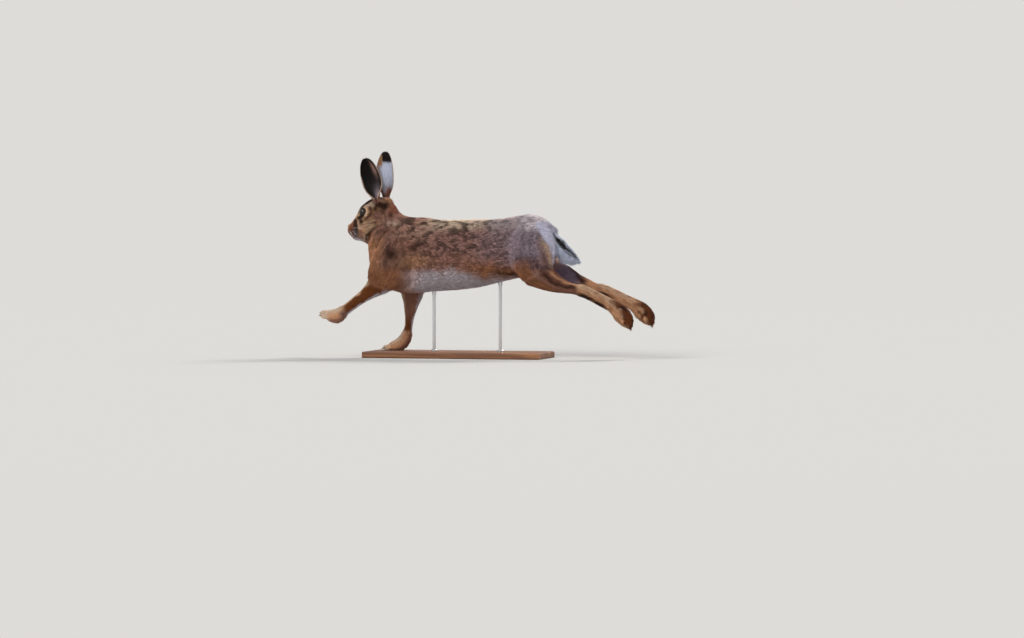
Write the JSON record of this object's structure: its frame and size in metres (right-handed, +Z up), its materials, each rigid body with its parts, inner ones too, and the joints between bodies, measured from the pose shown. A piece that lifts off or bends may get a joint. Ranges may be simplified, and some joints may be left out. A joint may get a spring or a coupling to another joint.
{
  "type": "life-size brown hare model on a display stand",
  "caption": "Still, life-size brown hare at full gallop, one forepaw on the board, held by rods on a flat wooden display base.",
  "frame": {"origin": "middle of the whole model's box, on the underside of the base", "axes": "-X the way the hare runs, +X towards its hind feet, +Y its right side, +Z up"},
  "size_m": [0.816, 0.15, 0.4945],
  "materials": {
    "coat": "coarse grizzled brown fur, cream and black tips over grey-brown",
    "leg_coat": "short orange-brown fur",
    "foot_coat": "short dense tan fur",
    "ear_coat": "very short grey-brown fur with black tips and cream rims",
    "tail_coat": "soft white fur with a black upper stripe",
    "eye": "wet, dark amber with a black pupil",
    "claw": "dark brown horn",
    "base_wood": "oiled brown hardwood with eased edges",
    "rod_steel": "brushed round bar"
  },
  "bodies": {
    "root": {"head": "coat", "eye_left": "eye", "eye_right": "eye", "ear_left": "ear_coat", "ear_right": "ear_coat", "neck": "coat", "chest": "coat", "loin": "coat", "rump": "coat", "tail": "tail_coat", "upper_arm_left": "coat", "forearm_left": "leg_coat", "fore_paw_left": "foot_coat", "upper_arm_right": "coat", "forearm_right": "leg_coat", "fore_paw_right": "foot_coat", "thigh_left": "coat", "shin_left": "leg_coat", "hind_foot_left": "foot_coat", "thigh_right": "coat", "shin_right": "leg_coat", "hind_foot_right": "foot_coat", "stand_base": "base_wood", "stand_rod_front": "rod_steel", "stand_rod_back": "rod_steel"}
  },
  "joints": []
}
